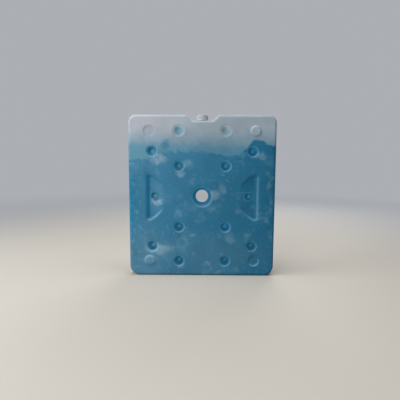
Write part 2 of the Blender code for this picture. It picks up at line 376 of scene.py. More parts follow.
def face_of_pack(edge, inset, face_side, coarseness):
    """Points (x, z, depth) of one face and its triangles.

    Every feature is a set of rings whose depth is a function of the place, and a lattice fills the
    flat between them. A coarseness of 1 is the outer skin's, and a larger one makes that many
    times fewer rings and sides.
    """
    parts = [np.column_stack([edge, np.full(len(edge), inset)])]
    openings = [np.zeros(len(edge), int)]

    def add(points, depth, opening=0):
        """Take on points with their depths, and the number of the opening that they bound."""
        parts.append(np.column_stack([points.reshape(-1, 2), np.ravel(depth)]))
        openings.append(np.full(np.size(depth), opening))

    profile = hole_profile(inset, HOLE_STEPS // coarseness * 2)
    turned = rings(0, HOLE_Z, profile[:, 0], HOLE_SIDES // coarseness)
    depth = np.repeat(profile[:, 1], HOLE_SIDES // coarseness).reshape(turned.shape[:2])
    depth[-1] = HALF
    depth[:-1] -= ripple(turned[:-1]) * np.clip(1 - depth[:-1] / HALF, 0, 1)
    add(turned[:-1], depth[:-1])
    add(turned[-1:], depth[-1:], 1)

    waist = DIMPLE_MOUTH + inset * math.hypot(1, DIMPLE_SLOPE) - DIMPLE_SLOPE * HALF
    innermost = waist if inset else DIMPLE_INNER_RING
    radii = np.linspace(DIMPLE_OUTER_RING + inset, innermost, DIMPLE_RINGS // coarseness)
    if not inset:
        radii = np.append(radii, DIMPLE_CENTRE_RINGS)
    for i, (x, z) in enumerate(DIMPLE_PLACES):
        points = rings(x, z, radii, DIMPLE_SIDES // coarseness)
        if inset:
            add(points[:-1], depth_of_face(points[:-1], inset, face_side))
            add(points[-1:], np.full(points.shape[1], HALF), i + 2)
        else:
            add(points, depth_of_face(points, inset, face_side))
            add(np.array([[x, z]]), [DIMPLE_FOOT_DEPTH])

    radii = np.linspace(DISC_OUTER_RING, DISC_INNER_RING, DISC_RINGS // coarseness)
    for x, z, way in DISC_PLACES:
        points = rings(x, z, radii, DISC_SIDES // coarseness)
        add(points, depth_of_face(points, inset, face_side))

    first, last = GRIP_OUTER_LINE + inset, GRIP_INNER_LINE + 0.5 * inset
    for hand in (-1, 1):
        points = grip_lines(hand, np.linspace(first, last, GRIP_LINES // coarseness))
        apart = np.linalg.norm(points - (hand * GRIP_DIMPLE_X, HOLE_Z), axis=-1)
        points = points[apart > GRIP_DIMPLE_CLEAR + inset]
        add(points, depth_of_face(points, inset, face_side))

    lattice = lattice_between(np.concatenate(parts)[:, :2])
    add(lattice, depth_of_face(lattice, inset, face_side))

    points = np.concatenate(parts)
    return points, triangles_of_face(points, np.concatenate(openings), len(edge))


def grid_faces(rows, columns):
    """Four-sided faces between rows of points that each close on themselves."""
    i, j = np.meshgrid(np.arange(rows - 1), np.arange(columns), indexing="ij")
    after = (j + 1) % columns
    corners = [i * columns + j, (i + 1) * columns + j, (i + 1) * columns + after, i * columns + after]
    return np.stack(corners, -1).reshape(-1, 4)


def edge_band(outline, inward, profile):
    """The rounded edge: a profile of (distance drawn in, y) carried along the outline.

    On the outer skin the mould's seam stands out of its middle as a low bead.
    """
    drawn, y = profile[:, 0, None, None], profile[:, 1, None]
    flat = outline + inward * drawn
    if profile[:, 0].min() < WALL / 2:
        bead = np.clip((outline[:, 1] - SEAM_START_Z) / SEAM_RUN_IN, 0, 1) * SEAM_HEIGHT
        bead = bead * np.clip(1 - (y / SEAM_HALF_WIDTH) ** 2, 0, 1) ** 2
        flat = flat - inward * bead[..., None]
    points = np.stack([flat[..., 0], y + 0 * flat[..., 0], flat[..., 1]], -1)
    return points, grid_faces(*points.shape[:2])


def skin_of_pack(inset, coarseness):
    """The two faces of the bottle and the band between them, all drawn in by the inset."""
    outline, inward = outline_of(PACK_CORNERS, CORNER_STEPS // coarseness, EDGE_SPACING * coarseness)
    edge = outline + inward * EDGE_ROUND
    surfaces = []
    for side in (-1, 1):
        points, faces = face_of_pack(edge, inset, side, coarseness)
        placed = np.stack([points[:, 0], side * (HALF - points[:, 2]), points[:, 1]], -1)
        surfaces.append((placed, faces if side < 0 else faces[:, ::-1]))
    low = HALF - inset
    ends = [(EDGE_ROUND, -low), (inset + EDGE_DRAFT, -low), (inset, 0)]
    round_off = EDGE_ROUND - inset - EDGE_DRAFT - SAME_PLACE
    path = rounded_path(ends, (round_off,), EDGE_STEPS // coarseness)
    if not inset:
        seam = np.array([(0.0, -share * SEAM_HALF_WIDTH) for share in SEAM_ROWS])
        path = np.concatenate([path[:-1], [(0.0, -SEAM_CLEAR)], seam, path[-1:]])
    path = np.concatenate([path, path[-2::-1] * (1, -1)])
    points, faces = edge_band(outline, inward, path)
    surfaces.append((points.reshape(-1, 3), faces))
    return surfaces


def joined(surfaces, flip=False):
    """All surfaces as one set of points and faces, with points that fall together merged."""
    points = np.concatenate([p for p, _ in surfaces])
    _, first, same = np.unique(
        np.round(points / SAME_PLACE).astype(int), axis=0, return_index=True, return_inverse=True
    )
    same = same.ravel()
    faces = []
    start = 0
    for some_points, some_faces in surfaces:
        step = -1 if flip else 1
        faces += same[some_faces[:, ::step] + start].tolist()
        start += len(some_points)
    faces = [face for face in (list(dict.fromkeys(face)) for face in faces) if len(face) > 2]
    used = np.unique(np.concatenate(faces))
    place = np.zeros(len(first), int)
    place[used] = np.arange(len(used))
    return points[first][used], [place[face].tolist() for face in faces]


def piece(name, parts, smooth=math.radians(40)):
    """An object from one or more closed surfaces, each given as points and faces."""
    points = np.concatenate([p for p, _ in parts])
    faces = []
    start = 0
    for some_points, some_faces in parts:
        faces += [[corner + start for corner in face] for face in some_faces]
        start += len(some_points)
    mesh = bpy.data.meshes.new(name)
    mesh.from_pydata(points, [], faces)
    mesh.shade_smooth()
    mesh.set_sharp_from_angle(angle=smooth)
    made = bpy.data.objects.new(name, mesh)
    bpy.context.scene.collection.objects.link(made)
    return made


def turned_surface(profile, sides, z=0.0):
    """A profile of (radius, height) carried round the upright axis: (r cos a, r sin a, z + height)."""
    a = np.arange(sides) * math.tau / sides
    r, height = profile[:, 0, None], profile[:, 1, None]
    points = np.stack([r * np.cos(a), r * np.sin(a), z + height + 0 * a], -1)
    return points.reshape(-1, 3), grid_faces(len(profile), sides)


def feed(tree, fed, inputs):
    """Feed a node's inputs by sockets, or set them to plain values."""
    for name, value in inputs.items():
        if isinstance(value, bpy.types.NodeSocket):
            tree.links.new(value, fed.inputs[name])
        else:
            fed.inputs[name].default_value = value


def node(tree, kind, inputs=None, **settings):
    """A new node with its settings and its inputs."""
    made = tree.nodes.new("ShaderNode" + kind)
    for name, value in settings.items():
        setattr(made, name, value)
    feed(tree, made, inputs or {})
    return made


def plain_material(name):
    """A new material, its node tree, its shader, and the place of each point on the piece."""
    made = bpy.data.materials.new(name)
    made.use_nodes = True
    tree = made.node_tree
    return made, tree, tree.nodes["Principled BSDF"], node(tree, "TexCoord").outputs["Object"]


def reckoned(tree, operation, first, second=0.0, third=0.0):
    """One step of arithmetic on two values, or on three for a multiply and add."""
    return node(tree, "Math", {0: first, 1: second, 2: third}, operation=operation).outputs[0]


def eased(tree, value, start, end, low=0.0, high=1.0):
    """The value's smooth way from low at start to high at end."""
    inputs = {"Value": value, "From Min": start, "From Max": end, "To Min": low, "To Max": high}
    return node(tree, "MapRange", inputs, interpolation_type="SMOOTHSTEP").outputs[0]


def blended(tree, amount, first, second):
    """The first colour where amount is 0 and the second where it is 1."""
    inputs = {0: amount, 6: first, 7: second}
    return node(tree, "Mix", inputs, data_type="RGBA").outputs[2]


def mottle(tree, place, scale, detail=2.0, roughness=0.5, output="Fac"):
    """Cloudy noise about one half, with patches one metre / scale across."""
    inputs = {"Vector": place, "Scale": scale, "Detail": detail, "Roughness": roughness}
    return node(tree, "TexNoise", inputs).outputs[output]


def patchy(tree, place, scale, detail, roughness, *reach):
    """Cloudy noise eased by its reach: from low at start to high at end."""
    return eased(tree, mottle(tree, place, scale, detail, roughness), *reach)


def grained(tree, place, scale, strength, depth, below=None):
    """The normal of a surface with noise of this depth on it, over the normal given if any."""
    inputs = {"Height": mottle(tree, place, scale), "Strength": strength, "Distance": depth}
    if below is not None:
        inputs["Normal"] = below
    return node(tree, "Bump", inputs).outputs[0]


def drawn_curve(tree, value, points):
    """A smooth curve through points of (value, result), both from 0 to 1."""
    made = node(tree, "FloatCurve", {"Value": value})
    line = made.mapping.curves[0]
    while len(line.points) < len(points):
        line.points.new(0.5, 0.5)
    for point, (x, y) in zip(line.points, points):
        point.location = (x, y)
    made.mapping.update()
    return made.outputs[0]


def shifted(tree, place, scale, amount):
    """The place moved by noise, so that what is drawn there has a ragged outline."""
    colour = mottle(tree, place, scale, output="Color")
    centred = node(tree, "VectorMath", {0: colour, 1: (0.5, 0.5, 0.5)}, operation="SUBTRACT")
    inputs = {0: centred.outputs[0], 1: (amount,) * 3, 2: place}
    return node(tree, "VectorMath", inputs, operation="MULTIPLY_ADD").outputs[0]


def spot(tree, place, x, z, half_width, half_height, strength):
    """A soft oval about (x, z), as strong as given in the middle and gone at 1.6 half widths."""
    offset = node(tree, "VectorMath", {0: place, 1: (x, 0, z)}, operation="SUBTRACT").outputs[0]
    inputs = {0: offset, 1: (1 / half_width, 0, 1 / half_height)}
    scaled = node(tree, "VectorMath", inputs, operation="MULTIPLY").outputs[0]
    reach = node(tree, "VectorMath", {0: scaled}, operation="LENGTH").outputs["Value"]
    return eased(tree, reach, 1.60, 0.25, 0.0, strength)


def noted(tree, name):
    """A number kept at the bottle's points under this name."""
    return node(tree, "Attribute", attribute_name=name).outputs["Fac"]


# What shows through the bottle's wall, from the top down: air, a thin film that clings above the
# coolant, and the coolant up to its frozen line. Each is painted paler to the left, a painted sheen
# of the lamps there. Hollows draw the wall out thinner, so that their colours are clearer, and the
# welds at their feet are paler. The hollows are also painted brighter than the wall, in a lit and a
# brighter shaded copy for walls that face away from the lamps: painted light. The lips' pale is a
# painted highlight.
AIR_COLOUR = (0.240, 0.300, 0.350, 1)
SHEEN_AIR_COLOUR = (0.325, 0.344, 0.396, 1)
AIR_DRAWN_LIT_COLOUR = (0.270, 0.370, 0.440, 1)
AIR_SHADED_COLOUR = (0.740, 0.880, 0.970, 1)
AIR_WELD_COLOUR = (0.240, 0.350, 0.420, 1)
FILM_COLOUR = (0.052, 0.172, 0.258, 1)
SHEEN_FILM_COLOUR = (0.068, 0.209, 0.298, 1)
DEEP_COOLANT_COLOUR = (0.006, 0.106, 0.202, 1)
SHEEN_COOLANT_COLOUR = (0.021, 0.144, 0.256, 1)
MARGIN_COLOUR = (0.000, 0.090, 0.176, 1)
SHEEN_MARGIN_COLOUR = (0.000, 0.142, 0.268, 1)
LOW_SHEEN_COLOUR = (0.075, 0.190, 0.290, 1)
FROST_COLOUR = (0.200, 0.340, 0.430, 1)
DRAWN_LIT_COLOUR = (0.000, 0.140, 0.290, 1)
DRAWN_SHADED_COLOUR = (0.004, 0.325, 0.600, 1)
WELD_COLOUR = (0.050, 0.228, 0.352, 1)
SHEEN_WELD_COLOUR = (0.125, 0.295, 0.425, 1)
LIP_HIGHLIGHT_COLOUR = (0.260, 0.420, 0.520, 1)

# How what shows through is made ragged, as (scale of the noise, how far it moves the place), and
# what is patchy in the frost, the tone and the waxy roughness, as (scale, detail and roughness of
# the noise, and start, end, low and high of its reach).
COARSE_RAGGED = (60, 0.018)
FINE_RAGGED = (170, 0.008)
FROST_BROKEN = (130, 3, 0.5, 0.25, 0.60, 0.55, 1.15)
FROST_CLOUDS = (38, 4, 0.6, 0.52, 0.80, 0.0, 0.30)
FROST_SPECKS = (165, 3, 0.7, 0.54, 0.74, 0.0, 0.36)
SPECKS_GATHERED = (26, 2, 0.5, 0.42, 0.66, 0.0, 1.0)
FROST_FLECKS = (120, 3, 0.6, 0.52, 0.76, 0.0, 0.45)
TONE = (22, 3, 0.5, 0.30, 0.70, 0.93, 1.07)
WAXINESS = (60, 3, 0.5, 0.30, 0.70, 0.39, 0.48)

# What grows towards a side, as (x where it starts, x where it is full), and low and high where
# they aren't 0 and 1. The specks grow towards both sides. The sheens are painted light: the wall,
# the air and the welds are painted paler towards the left, where the lamps are.
SHEEN_GROWS = (0.15, -0.15)
AIR_SHEEN_GROWS = (0.02, -0.16)
WELD_SHEEN_GROWS = (-0.03, -0.11)
FLECKS_GROW = (-0.118, -0.142)
FILM_RISES = (-0.05, -0.14, 0.0, 0.05)
SPECKS_GROW = (0.115, 0.145, 0.0, 0.45)

# How the hollows' own colours, painted light among them, come in with the wall's drawing out, and
# the lips' painted highlight with their turn to the light, as (start, end, low, high). The rest is
# the plastic's surface: its shine, and its grain and waves as (scale, strength, depth).
DRAWN_OVER_AIR = (0.25, 0.90, 0.0, 0.90)
DRAWN_OVER_COOLANT = (0.10, 0.90, 0.0, 0.96)
LIP_HIGHLIGHT_SHARE = (0.50, 0.10, 0.10, 0.14)
WELD_MOST = 0.9
BENT_MOST = 0.9
# The grips' sunk floors are painted paler: painted light in their shade.
PAINTED_LIGHT_WHEN_SUNK = 0.12
DULLER_AT = (("lip_highlight", 0.20), ("drawn", -0.13), ("weld", 0.18), ("edge", 0.18))
PLASTIC_SHINE = 0.24
PLASTIC_IOR = 1.5
GRAIN = (1500, 0.25, 0.0001)
WAVES = (160, 0.3, 0.0004)

# The frozen line as (x, z), with the heights above and below it between which coolant comes in,
# and the film as (z, how much of it shows), with how much of it looks as full as coolant.
LINE_LOW = 0.240
LINE_SPAN = 0.080
LINE_SOFTNESS = (0.0036, -0.0028)
COOLANT_LINE = (
    (-0.162, 0.260), (-0.121, 0.260), (-0.113, 0.262), (-0.106, 0.269), (-0.097, 0.275),
    (-0.084, 0.277), (-0.073, 0.278), (-0.058, 0.278), (-0.043, 0.280), (-0.025, 0.276),
    (-0.003, 0.279), (0.011, 0.278), (0.026, 0.275), (0.040, 0.272), (0.055, 0.269),
    (0.077, 0.271), (0.091, 0.281), (0.102, 0.290), (0.108, 0.299), (0.114, 0.304),
    (0.126, 0.303), (0.138, 0.300), (0.144, 0.293), (0.162, 0.290),
)
FILM_LOW = 0.260
FILM_SPAN = 0.080
FILM_LOOKS_FULL = (0.55, 0.95)
FILM = (
    (0.270, 1), (0.281, 0.97), (0.290, 0.84), (0.298, 0.64), (0.307, 0.45), (0.316, 0.27),
    (0.330, 0.04),
)

# Soft ovals as (x, z, half width, half height, strength): a lump of coolant above the line, a
# painted sheen near the base, and the frosted patches.
LUMP = (-0.0800, 0.2925, 0.0095, 0.0100, 0.85)
LOW_SHEEN = (
    (-0.150, 0.030, 0.065, 0.085, 0.50),
    (0.012, 0.048, 0.115, 0.045, 0.30),
)
FROST = (
    (-0.0965, 0.2625, 0.0165, 0.0112, 0.66),
    (-0.0325, 0.2514, 0.0109, 0.0080, 0.29),
    (-0.0472, 0.2294, 0.0091, 0.0065, 0.46),
    (0.0284, 0.1836, 0.0127, 0.0090, 0.42),
    (0.0456, 0.1948, 0.0073, 0.0101, 0.28),
    (0.1293, 0.2683, 0.0127, 0.0080, 0.34),
    (0.1515, 0.2521, 0.0080, 0.0072, 0.12),
    (0.1465, 0.2040, 0.0045, 0.0120, 0.25),
    (-0.0990, 0.1690, 0.0110, 0.0075, 0.75),
    (-0.0948, 0.0617, 0.0273, 0.0118, 0.68),
    (-0.1192, 0.0653, 0.0091, 0.0072, 0.45),
    (-0.1158, 0.0383, 0.0145, 0.0090, 0.30),
    (0.0628, 0.0859, 0.0095, 0.0120, 0.28),
    (-0.0195, 0.0910, 0.0065, 0.0043, 0.30),
    (-0.0478, 0.0233, 0.0091, 0.0072, 0.35),
    (0.0108, 0.0277, 0.0080, 0.0051, 0.30),
    (-0.0511, 0.1439, 0.0073, 0.0072, 0.25),
    (-0.1516, 0.2490, 0.0109, 0.0036, 0.30),
    (0.0805, 0.1466, 0.0065, 0.0051, 0.25),
    (-0.1035, 0.1790, 0.0150, 0.0300, 0.13),
)

# Dimples with a colour of their own, as (x, z, colour, strength): coolant clings in some and air in
# others, and the tints are also lighter than the hollows' shade would leave them, as painted light.
CLINGING_REACH = 0.0110
CLINGING = (
    (-0.0515, 0.3260, (0.050, 0.470, 0.660, 1), 0.72),
    (0.0515, 0.3240, (0.300, 0.580, 0.740, 1), 0.55),
    (-0.1050, 0.2767, (0.020, 0.300, 0.510, 1), 0.85),
    (-0.1014, 0.0750, (0.090, 0.290, 0.440, 1), 0.75),
    (-0.0980, 0.1795, (0.060, 0.215, 0.330, 1), 0.75),
    (0.0980, 0.1795, (0.016, 0.130, 0.220, 1), 0.65),
)


def coolant_seen(tree, ragged):
    """1 where coolant stands behind the wall, below its ragged line and in the lump, else 0."""
    x, _, z = node(tree, "SeparateXYZ", {0: ragged}).outputs
    along = reckoned(tree, "MULTIPLY_ADD", x, 1 / WIDTH, 0.5)
    points = [(at / WIDTH + 0.5, (height - LINE_LOW) / LINE_SPAN) for at, height in COOLANT_LINE]
    line = reckoned(tree, "MULTIPLY_ADD", drawn_curve(tree, along, points), LINE_SPAN, LINE_LOW)
    below = eased(tree, reckoned(tree, "SUBTRACT", z, line), *LINE_SOFTNESS)
    return reckoned(tree, "MAXIMUM", below, spot(tree, ragged, *LUMP))


def film_seen(tree, ragged):
    """How much of the film shows at each height. It reaches a little higher at the left."""
    x, _, z = node(tree, "SeparateXYZ", {0: ragged}).outputs
    height = reckoned(tree, "MULTIPLY_ADD", z, 1 / FILM_SPAN, -FILM_LOW / FILM_SPAN)
    height = reckoned(tree, "SUBTRACT", height, eased(tree, x, *FILM_RISES))
    points = [((level - FILM_LOW) / FILM_SPAN, share) for level, share in FILM]
    return drawn_curve(tree, height, points)


def frost_seen(tree, place, ragged):
    """Broken patches of frost, faint clouds, specks that thicken at both sides, and left flecks."""
    x = node(tree, "SeparateXYZ", {0: ragged}).outputs[0]
    patches = spot(tree, ragged, *FROST[0])
    for patch in FROST[1:]:
        patches = reckoned(tree, "MAXIMUM", patches, spot(tree, ragged, *patch))
    patches = reckoned(tree, "MULTIPLY", patches, patchy(tree, place, *FROST_BROKEN))
    clouds = patchy(tree, place, *FROST_CLOUDS)
    specks = patchy(tree, place, *FROST_SPECKS)
    gathered = patchy(tree, place, *SPECKS_GATHERED)
    aside = eased(tree, reckoned(tree, "ABSOLUTE", x), *SPECKS_GROW)
    specks = reckoned(tree, "MULTIPLY", specks, reckoned(tree, "MAXIMUM", gathered, aside))
    flecks = patchy(tree, place, *FROST_FLECKS)
    flecks = reckoned(tree, "MULTIPLY", flecks, eased(tree, x, *FLECKS_GROW))
    frost = reckoned(tree, "MAXIMUM", patches, clouds)
    return reckoned(tree, "MAXIMUM", reckoned(tree, "MAXIMUM", frost, specks), flecks)


def wall_colour(tree, place, ragged, coolant, film):
    """The colour of the flat wall: air, then the film over it, then the coolant and its frost, with a
    painted sheen.
    """
    x = node(tree, "SeparateXYZ", {0: ragged}).outputs[0]
    # Painted sheen: the colours are painted paler towards the left, where the lamps are.
    sheen = eased(tree, x, *SHEEN_GROWS)
    blue = blended(tree, sheen, DEEP_COOLANT_COLOUR, SHEEN_COOLANT_COLOUR)
    side_blue = blended(tree, sheen, MARGIN_COLOUR, SHEEN_MARGIN_COLOUR)
    blue = blended(tree, noted(tree, "margin"), blue, side_blue)
    # Paler ovals near the base: painted sheen.
    for sheen_spot in LOW_SHEEN:
        blue = blended(tree, spot(tree, place, *sheen_spot), blue, LOW_SHEEN_COLOUR)
    blue = blended(tree, frost_seen(tree, place, ragged), blue, FROST_COLOUR)
    # The air and the film are painted paler towards the left in the same way: painted sheen, not a
    # milkier wall.
    milky = eased(tree, x, *AIR_SHEEN_GROWS)
    air = blended(tree, milky, AIR_COLOUR, SHEEN_AIR_COLOUR)
    film_colour = blended(tree, milky, FILM_COLOUR, SHEEN_FILM_COLOUR)
    return blended(tree, coolant, blended(tree, film, air, film_colour), blue)


def hollow_colour(tree, place, ragged, wall, filled):
    """The wall's colour with the hollows' painted light, their welds and their lips' painted highlight
    over it.
    """
    x = node(tree, "SeparateXYZ", {0: ragged}).outputs[0]
    drawn, away = noted(tree, "drawn"), noted(tree, "away")
    # Painted light: a lit colour, and a brighter one for walls that face away from the lamps.
    clear = blended(tree, away, AIR_DRAWN_LIT_COLOUR, AIR_SHADED_COLOUR)
    dark = blended(tree, away, DRAWN_LIT_COLOUR, DRAWN_SHADED_COLOUR)
    over_air = eased(tree, drawn, *DRAWN_OVER_AIR)
    over_coolant = eased(tree, drawn, *DRAWN_OVER_COOLANT)
    inputs = {0: filled, 2: over_air, 3: over_coolant}
    thin = node(tree, "Mix", inputs, data_type="FLOAT").outputs[0]
    colour = blended(tree, thin, wall, blended(tree, filled, clear, dark))
    for at, height, tint, strength in CLINGING:
        clinging = spot(tree, place, at, height, CLINGING_REACH, CLINGING_REACH, strength)
        colour = blended(tree, reckoned(tree, "MULTIPLY", clinging, thin), colour, tint)
    weld = blended(tree, eased(tree, x, *WELD_SHEEN_GROWS), WELD_COLOUR, SHEEN_WELD_COLOUR)
    weld = blended(tree, filled, AIR_WELD_COLOUR, weld)
    colour = blended(tree, reckoned(tree, "MULTIPLY", noted(tree, "weld"), WELD_MOST), colour, weld)
    # The lips are painted pale on the side that faces the lamps: a painted highlight.
    pale = reckoned(tree, "MULTIPLY", filled, eased(tree, away, *LIP_HIGHLIGHT_SHARE))
    pale = reckoned(tree, "MULTIPLY", noted(tree, "lip_highlight"), pale)
    return blended(tree, pale, colour, LIP_HIGHLIGHT_COLOUR)


def softened_normal(tree, place):
    """Grain and waves in the wall, with the hollows' normal bent out towards the face's own.

    The real wall is milky and light scatters inside it, so that its hollows are never dark.
    """
    bump = grained(tree, place, *WAVES, below=grained(tree, place, *GRAIN))
    y = node(tree, "SeparateXYZ", {0: place}).outputs[1]
    outward = node(tree, "CombineXYZ", {1: reckoned(tree, "SIGN", y)}).outputs[0]
    turned = {"vector_type": "NORMAL", "convert_from": "OBJECT", "convert_to": "WORLD"}
    outward = node(tree, "VectorTransform", {0: outward}, **turned).outputs[0]
    inputs = {0: reckoned(tree, "MULTIPLY", noted(tree, "bent"), BENT_MOST), 4: bump, 5: outward}
    soft = node(tree, "Mix", inputs, data_type="VECTOR").outputs[1]
    return node(tree, "VectorMath", {0: soft}, operation="NORMALIZE").outputs[0]


def bottle_plastic():
    """Milky polyethylene, waxy and grained, with what it lets through, painted light and a sheen painted
    on it.
    """
    made, tree, shader, place = plain_material("milky_bottle_plastic")
    ragged = shifted(tree, shifted(tree, place, *COARSE_RAGGED), *FINE_RAGGED)
    coolant = coolant_seen(tree, ragged)
    film = film_seen(tree, ragged)
    filled = reckoned(tree, "MAXIMUM", coolant, eased(tree, film, *FILM_LOOKS_FULL))
    wall = wall_colour(tree, place, ragged, coolant, film)
    colour = hollow_colour(tree, place, ragged, wall, filled)
    tone = patchy(tree, place, *TONE)
    # Painted light: the grips' sunk floors are painted paler where they lie in shade.
    tone = reckoned(tree, "MULTIPLY_ADD", noted(tree, "sunk"), PAINTED_LIGHT_WHEN_SUNK, tone)
    colour = node(tree, "VectorMath", {0: colour, "Scale": tone}, operation="SCALE").outputs[0]
    rough = patchy(tree, place, *WAXINESS)
    for name, amount in DULLER_AT:
        rough = reckoned(tree, "MULTIPLY_ADD", noted(tree, name), amount, rough)
    feed(tree, shader, {"Base Color": colour, "Roughness": rough})
    feed(tree, shader, {"Normal": softened_normal(tree, place)})
    feed(tree, shader, {"Specular IOR Level": PLASTIC_SHINE, "IOR": PLASTIC_IOR})
    return made


def share_of(value, start, end):
    """How far a value has come from start to end, kept from 0 to 1."""
    return np.clip((value - start) / (end - start), 0, 1)


def nearest(x, z, places):
    """Distance from each point of the face to the nearest of some places."""
    return np.min([np.hypot(x - at[0], z - at[1]) for at in places], 0)


# Where the flat face, the hole's mouth, the dimples and the grips are taken to lie when the points
# are noted, and the ways that the shaded walls, the grips' walls and the grips' lips face.
FACE_START = 0.009
NOTCH_KEPT_OFF = 0.036
HOLE_NEAR = 0.03
DIMPLE_NEAR = 0.017
GRIP_START_X = 0.03
GRIP_TOP_Z = 0.3
GRIP_SIDE_X = 0.1075
GRIP_HALF_HEIGHT = 0.045
DOWN_RIGHT = (0.66, 0.0, -0.75)
GRIP_WALL_FACING = (1.0, 0.0, -0.9)
GRIP_LIP_FACING = (-0.8, 0.0, 2.6)

# The reach of each number, as (where it is 0, where it is 1): in depth below the face, in turn
# away from it, in how far it faces a way, or in distance from a dimple's middle or a side.
SHADE = 0.45
SHADE_BY_FACING = 0.75
SHADE_AT_RIM = 0.56
SHADE_DEPTH = (0.002, 0.006)
LIT_DEPTH = 0.0003
LIT_DIMPLE_DEPTH = 0.0006
LIT_MORE_IN_HOLE = 6
GRIP_WALL_REACH = (0.05, 0.30)
GRIP_DRAWN_TURN = (0.02, 0.08)
GRIP_DRAWN_DEPTH = (0.0004, 0.0013)
DRAWN_TURN = (0, 0.30)
DRAWN_DEPTH = (0, 0.0032)
BENT_TURN = (0, 0.12)
BENT_DEPTH = (0.0006, 0.0016)
BENT_IN_DISC = 0.7
BENT_WALL_DEPTH = (0, 0.0007)
BENT_FLOOR_LEAST = 0.15
BENT_FLOOR_DEPTH = (0.0024, 0.0044)
GRIP_LIP = 0.4
GRIP_LIP_MOST = 1.9
LIP_TURN = (0.02, 0.10)
LIP_DEPTH = (0.0040, 0.0016)
WELD_REACH = (0.0046, 0.0033)
EDGE_TURN = (0, 0.2)
MARGIN_REACH = (0.028, 0.008)
MARGIN_HEIGHT = (0.03, 0.12)
SUNK_DEPTH = (0, 0.009)


def note_hollows(made):
    """Keep at each point of the bottle what its material needs to know of the hollows.

    Each number runs from 0 to 1, or to about 2 on the grips' lips. It comes from the point's depth
    below the face, from its turn away from the face and from the side it faces.
    """
    count = len(made.data.vertices)
    numbers = np.empty((2, 3 * count))
    made.data.vertices.foreach_get("co", numbers[0])
    made.data.vertices.foreach_get("normal", numbers[1])
    x, y, z = numbers[0].reshape(-1, 3).T
    facing = numbers[1].reshape(-1, 3)
    depth = HALF - abs(y)
    turn = 1 - abs(facing[:, 1])
    from_dimple = nearest(x, z, DIMPLE_PLACES)
    in_disc = nearest(x, z, DISC_PLACES) < DISC_REACH
    near_hole = np.hypot(x, z - HOLE_Z) < HOLE_NEAR
    in_grip = (from_dimple > DIMPLE_NEAR) & (abs(x) > GRIP_START_X) & (z < GRIP_TOP_Z)
    in_grip |= (abs(x) > GRIP_SIDE_X) & (abs(z - GRIP_Z) < GRIP_HALF_HEIGHT)
    in_face = np.minimum(WIDTH / 2 - abs(x), np.minimum(z, HEIGHT - z)) > FACE_START
    in_face &= ~((abs(x) < NOTCH_KEPT_OFF) & (z > NOTCH_Z - FACE_START))

    # Walls that face down and to the right are away from the lamps, less so near their rim, and are
    # painted in the brighter shaded colours: painted light. The lit ones keep the face's own colour a
    # little deeper, most of all in the hole's mouth.
    away = np.clip(SHADE + SHADE_BY_FACING * (facing @ DOWN_RIGHT), 0, 1)
    lit = np.clip(1 - away / SHADE, -1, 1)
    lit = lit * np.where(from_dimple < DIMPLE_NEAR, LIT_DIMPLE_DEPTH, LIT_DEPTH)
    below_rim = depth - np.where(near_hole, lit * LIT_MORE_IN_HOLE, lit)
    away = away * (SHADE_AT_RIM + (1 - SHADE_AT_RIM) * share_of(depth, *SHADE_DEPTH))
    away = np.where(in_grip, 0.0, away)

    # Hollows are drawn where the wall is steep, and take the hollows' painted light. Of the grips' walls
    # only those at the left that face right, away from the lamps, are drawn, and the discs aren't.
    grip_wall = share_of(facing @ GRIP_WALL_FACING, *GRIP_WALL_REACH) * (x < 0)
    drawn_grip = share_of(turn, *GRIP_DRAWN_TURN) * grip_wall * share_of(depth, *GRIP_DRAWN_DEPTH)
    drawn = share_of(turn, *DRAWN_TURN) * share_of(below_rim, *DRAWN_DEPTH)
    drawn = np.where(in_grip, drawn_grip, drawn)
    drawn = np.where(in_disc | ~in_face, 0.0, drawn)

    # Below its rim each hollow's shading is bent outwards, and less so on the grips' floors.
    bent = share_of(below_rim, *BENT_DEPTH) * share_of(turn, *BENT_TURN)
    bent = np.where(in_disc & (x < 0), BENT_IN_DISC, bent)
    bent_wall = np.maximum(bent, grip_wall * share_of(depth, *BENT_WALL_DEPTH))
    deep_floor = share_of(depth, *BENT_FLOOR_DEPTH)
    bent_floor = bent * (BENT_FLOOR_LEAST + (1 - BENT_FLOOR_LEAST) * deep_floor)
    bent = np.where(in_grip, np.where(grip_wall > 0, bent_wall, bent_floor), bent)

    # The lip is the round of the rim, where a highlight is painted. On the grips only the parts that
    # face up, towards the lamps, are pale.
    grip_lip_highlight = (1 - grip_wall) * np.clip(GRIP_LIP + facing @ GRIP_LIP_FACING, 0, GRIP_LIP_MOST)
    lip_highlight = np.where(in_grip, grip_lip_highlight, 1.0)
    lip_highlight = lip_highlight * share_of(turn, *LIP_TURN) * share_of(below_rim, *LIP_DEPTH)

    from_side = np.minimum(WIDTH / 2 - abs(x), z)
    values = {
        "drawn": drawn,
        "away": away,
        "weld": np.where(in_face, share_of(from_dimple, *WELD_REACH), 0.0),
        "bent": np.where(in_face, bent, 0.0),
        "lip_highlight": np.where(in_face, lip_highlight, 0.0),
        "edge": np.where(in_face, 0.0, share_of(turn, *EDGE_TURN)),
        "margin": share_of(from_side, *MARGIN_REACH) * share_of(z, *MARGIN_HEIGHT),
        "sunk": np.where(in_grip & in_face, share_of(depth, *SUNK_DEPTH), 0.0),
    }
    for name, at_points in values.items():
        made.data.attributes.new(name, "FLOAT", "POINT").data.foreach_set("value", at_points)


